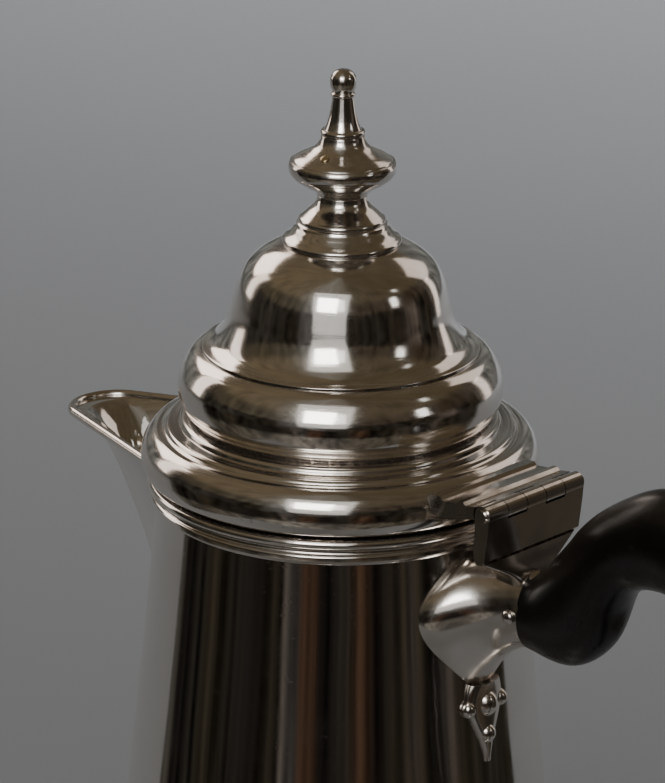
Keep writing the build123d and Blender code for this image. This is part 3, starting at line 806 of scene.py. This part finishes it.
right = Vector((math.cos(TURN), math.sin(TURN), 0))
ahead = Vector((-math.sin(TURN), math.cos(TURN), 0))
look = ahead * math.cos(TIP) - Vector((0, 0, 1)) * math.sin(TIP)
above = ahead * math.sin(TIP) + Vector((0, 0, 1)) * math.cos(TIP)
right_leant = right * math.cos(LEAN) + above * math.sin(LEAN)
above_leant = above * math.cos(LEAN) - right * math.sin(LEAN)
camera_data = bpy.data.cameras.new("camera")
camera_data.lens = 165.5
camera = bpy.data.objects.new("camera", camera_data)
bpy.context.scene.collection.objects.link(camera)
where = belt_middle - look * DISTANCE + right_leant * AIM_RIGHT + above_leant * AIM_UP
turn = Matrix((right_leant, above_leant, -look)).transposed().to_4x4()
camera.matrix_world = Matrix.Translation(where) @ turn
camera_data.clip_start = 0.01
bpy.context.scene.camera = camera

# ---------------------------------------------------------------- floor

# the sheet is narrow beside the pot and widens behind it
SHEET_FRONT = 0.17
SHEET_NEAR = 0.20
SHEET_NEAR_BACK = 0.05
SHEET_FAR_FRONT = 0.75
SHEET_FAR = 2.20
SHEET_BACK = 3.00


def floor_paper(name, colour):
    """Pale matt floor with a very faint mottle."""
    m = bpy.data.materials.new(name)
    m.use_nodes = True
    tree = m.node_tree
    bsdf = tree.nodes["Principled BSDF"]
    place = node(tree, "ShaderNodeTexCoord").outputs["Object"]
    mottle = clouds(tree, place, 3.0, 4.0)
    darker = rgba(*[c * 0.97 for c in colour])
    tone = mix_colour(tree, fit(tree, mottle, 0.3, 0.7), darker, rgba(*colour))
    tree.links.new(tone, bsdf.inputs["Base Color"])
    bsdf.inputs["Roughness"].default_value = 0.85
    bsdf.inputs["Specular IOR Level"].default_value = 0.15
    return m


def flat(name, corners, height, material):
    """Level sheet of floor."""
    mesh = bpy.data.meshes.new(name)
    mesh.from_pydata([tuple(c) for c in corners], [], [tuple(range(len(corners)))])
    o = bpy.data.objects.new(name, mesh)
    bpy.context.scene.collection.objects.link(o)
    o.location.z = height
    mesh.materials.append(material)
    return o


PAPER = floor_paper("floor_paper", (0.40, 0.415, 0.44))
sheet = flat(
    "floor_sheet",
    [
        right * -SHEET_NEAR - ahead * SHEET_FRONT,
        right * SHEET_NEAR - ahead * SHEET_FRONT,
        right * SHEET_NEAR + ahead * SHEET_NEAR_BACK,
        right * SHEET_FAR + ahead * SHEET_FAR_FRONT,
        right * SHEET_FAR + ahead * SHEET_BACK,
        right * -SHEET_FAR + ahead * SHEET_BACK,
        right * -SHEET_FAR + ahead * SHEET_FAR_FRONT,
        right * -SHEET_NEAR + ahead * SHEET_NEAR_BACK,
    ],
    -0.0002,
    PAPER,
)
# the floor beyond the sheet is left out of the silver's reflections, which show the room there
FLOOR_R = 9
wide = flat(
    "floor_wide",
    [Matrix.Rotation(math.pi * k / 32, 3, "Z") @ Vector((FLOOR_R, 0, 0)) for k in range(64)],
    -0.0004,
    PAPER,
)
wide.visible_glossy = False

# ---------------------------------------------------------------- lamps


def lamp(name, side, height, distance, width, tall, brightness, colour, seen=True, lights=False):
    """Soft panel: side is degrees right of the camera, height is degrees above the horizon."""
    a = TURN + math.radians(side)
    h = math.radians(height)
    away = Vector((math.sin(a) * math.cos(h), -math.cos(a) * math.cos(h), math.sin(h)))
    data = bpy.data.lights.new(name, "AREA")
    data.shape = "RECTANGLE"
    data.size = width
    data.size_y = tall
    data.energy = brightness * math.pi * width * tall
    data.color = colour
    o = bpy.data.objects.new(name, data)
    bpy.context.scene.collection.objects.link(o)
    o.location = belt_middle + away * distance
    o.rotation_mode = "QUATERNION"
    o.rotation_quaternion = away.to_track_quat("Z", "Y")
    o.visible_camera = False
    o.visible_glossy = seen
    o.visible_diffuse = lights
    return o


def panel(name, side_from, side_to, low, high, brightness, colour, distance=1.6):
    """Bright panel that the silver mirrors, filling these angles as seen from the pot."""
    side = (side_from + side_to) / 2
    height = (low + high) / 2
    across = math.cos(math.radians(height))
    width = 2 * distance * math.tan(math.radians(side_to - side_from) / 2) * across
    tall = 2 * distance * math.tan(math.radians(high - low) / 2)
    return lamp(name, side, height, distance, width, tall, brightness, colour)


ROSY = (1.0, 0.86, 0.77)
CLEAR = (1.0, 0.985, 0.96)
panel("softbox", -27, -4, 20, 41, 6.0, CLEAR)
panel("softbox_side", -4, 4, 22, 38, 1.2, CLEAR, distance=1.65)
panel("softbox_skirt", -32, 8, 4, 54, 0.62, CLEAR, distance=1.7)
panel("panel_left", -157, -127, 19, 41, 2.6, ROSY)
panel("panel_left_edge", -126, -113, 1, 36, 1.6, ROSY, distance=1.62)
panel("panel_right", 120, 150, 20, 45, 0.75, ROSY)
panel("panel_right_edge", 119, 128, -8, 22, 1.0, ROSY, distance=1.62)
panel("window_small", 58, 66, 19, 29, 2.2, CLEAR)
panel("window_high", 71, 77, 38, 44, 1.2, CLEAR)

lamp("fill_front", -14, 52, 1.5, 0.9, 0.9, 1.0, CLEAR, seen=False, lights=True)
lamp("fill_left", -100, 40, 1.6, 1.0, 0.8, 0.35, CLEAR, seen=False, lights=True)
lamp("fill_right", 100, 40, 1.6, 1.0, 0.8, 0.35, CLEAR, seen=False, lights=True)
COOL = (0.97, 0.985, 1.0)
wash = lamp("floor_wash", 172, 30, 1.9, 1.8, 0.7, 4.4, COOL, seen=False, lights=True)
# the wash shines straight down on the floor behind the pot
wash.rotation_quaternion = Vector((0, 0, 1)).to_track_quat("Z", "Y")

# ---------------------------------------------------------------- the room that the silver mirrors

ROOM_LEVEL = 0.5
BACKDROP = (0.215, 0.215, 0.200)
BLACK = (0.013, 0.011, 0.010)
SHADOW = (0.030, 0.027, 0.022)
BRONZE = (0.075, 0.042, 0.026)
OLIVE = (0.040, 0.033, 0.022)
DUSK = (0.062, 0.056, 0.045)
PALE = (0.120, 0.098, 0.082)
STONE = (0.105, 0.098, 0.090)


def along(tree, turn, stops):
    """Colour by the way round the room; stops are (degrees right of the camera, colour)."""
    ramp = node(tree, "ShaderNodeValToRGB", {"Fac": turn})
    marks = ramp.color_ramp
    marks.interpolation = "EASE"
    for index, (side, colour) in enumerate(stops):
        where = (side + 180.0) / 360.0
        if index < 2:
            mark = marks.elements[index]
            mark.position = where
        else:
            mark = marks.elements.new(where)
        mark.color = rgba(*colour)
    return ramp.outputs["Color"]


world = bpy.data.worlds.new("room")
world.use_nodes = True
bpy.context.scene.world = world
tree = world.node_tree
tree.nodes.clear()
out = node(tree, "ShaderNodeOutputWorld")
place = node(tree, "ShaderNodeTexCoord").outputs["Generated"]
faced = node(
    tree, "ShaderNodeVectorRotate", {"Vector": place, "Angle": -TURN}, rotation_type="Z_AXIS"
).outputs[0]
parts = node(tree, "ShaderNodeSeparateXYZ", {0: faced})
side = maths(tree, "ARCTAN2", parts.outputs[0], maths(tree, "MULTIPLY", parts.outputs[1], -1.0))
rise = maths(tree, "ARCSINE", parts.outputs[2])
lift = maths(tree, "MULTIPLY", rise, 180.0 / math.pi)
# clutter in the room stands in upright bands
band = node(
    tree,
    "ShaderNodeCombineXYZ",
    {0: maths(tree, "MULTIPLY", side, 9.0), 1: maths(tree, "MULTIPLY", rise, 2.2)},
)
clutter = clouds(tree, band.outputs[0], 1.4, 4.0, 0.6)
sway = maths(tree, "MULTIPLY", maths(tree, "SUBTRACT", clutter, 0.5), 0.02)
turned_by = maths(tree, "MULTIPLY", side, 0.5 / math.pi)
around = maths(tree, "ADD", turned_by, maths(tree, "ADD", sway, 0.5))
low_room = along(
    tree,
    around,
    [
        (-180, BACKDROP), (-130, (0.19, 0.185, 0.165)), (-108, (0.10, 0.09, 0.075)),
        (-105.5, BLACK), (-88, SHADOW), (-83, OLIVE), (-60, SHADOW), (-50, BLACK), (-36, OLIVE),
        (-33, PALE), (-26, STONE),
        (-21, BRONZE), (-14, BRONZE), (-10, BLACK), (4, SHADOW), (14, BRONZE), (22, BLACK),
        (38, OLIVE),
        (43, PALE), (49, OLIVE), (53, BLACK), (62, SHADOW), (66, PALE), (73, OLIVE), (96, SHADOW),
        (112, OLIVE), (128, DUSK), (140, (0.10, 0.095, 0.09)), (160, BACKDROP),
    ],
)
eye_room = along(
    tree,
    around,
    [
        (-180, BACKDROP), (-128, BACKDROP), (-112, (0.20, 0.18, 0.15)), (-109, SHADOW),
        (-84, DUSK), (-72, SHADOW), (-46, OLIVE), (-38, STONE), (-14, (0.13, 0.12, 0.11)),
        (0, DUSK), (10, OLIVE), (28, SHADOW), (64, OLIVE), (74, PALE), (88, PALE), (94, SHADOW),
        (108, OLIVE), (120, (0.17, 0.15, 0.13)), (130, BACKDROP),
    ],
)
high_room = along(
    tree,
    around,
    [
        (-180, (0.21, 0.19, 0.17)), (-126, (0.20, 0.17, 0.14)), (-110, (0.10, 0.082, 0.055)),
        (-84, (0.12, 0.10, 0.066)), (-50, (0.12, 0.108, 0.08)), (-30, (0.3, 0.29, 0.27)),
        (0, (0.24, 0.22, 0.20)), (16, (0.09, 0.07, 0.05)), (60, (0.085, 0.065, 0.045)),
        (84, (0.07, 0.05, 0.032)), (118, (0.10, 0.085, 0.065)), (130, BACKDROP),
        (170, BACKDROP),
    ],
)
ceiling = along(
    tree,
    around,
    [
        (-180, (0.18, 0.14, 0.09)), (-110, (0.235, 0.182, 0.112)), (-60, (0.225, 0.178, 0.115)),
        (-30, (0.36, 0.335, 0.29)), (0, (0.28, 0.25, 0.20)), (20, (0.15, 0.12, 0.076)),
        (100, (0.14, 0.108, 0.064)), (180, (0.16, 0.125, 0.08)),
    ],
)
table = along(
    tree,
    around,
    [
        (-180, BACKDROP), (-112, (0.17, 0.16, 0.14)), (-104, DUSK), (-80, (0.13, 0.115, 0.09)),
        (-46, (0.19, 0.175, 0.15)), (-30, (0.34, 0.31, 0.27)), (-10, (0.17, 0.155, 0.135)),
        (20, (0.125, 0.11, 0.085)), (70, (0.10, 0.08, 0.055)), (120, (0.09, 0.08, 0.065)),
        (150, BACKDROP),
    ],
)
floorward = mix_colour(tree, fit(tree, lift, -26.0, -19.0), table, low_room)
lower = mix_colour(tree, fit(tree, lift, -6.0, -1.0), floorward, eye_room)
upper = mix_colour(tree, fit(tree, lift, 24.0, 36.0), high_room, ceiling)
room = mix_colour(tree, fit(tree, lift, 11.0, 18.0), lower, upper)
busy = fit(tree, clutter, 0.30, 0.70, 0.55, 1.55)
calm = mix_colour(tree, fit(tree, lift, 10.0, 30.0), rgba(1, 1, 1), rgba(0.3, 0.3, 0.3))
strength = maths(tree, "MULTIPLY_ADD", maths(tree, "SUBTRACT", busy, 1.0), calm, ROOM_LEVEL)
background = node(tree, "ShaderNodeBackground", {"Color": room, "Strength": strength})
tree.links.new(background.outputs[0], out.inputs[0])
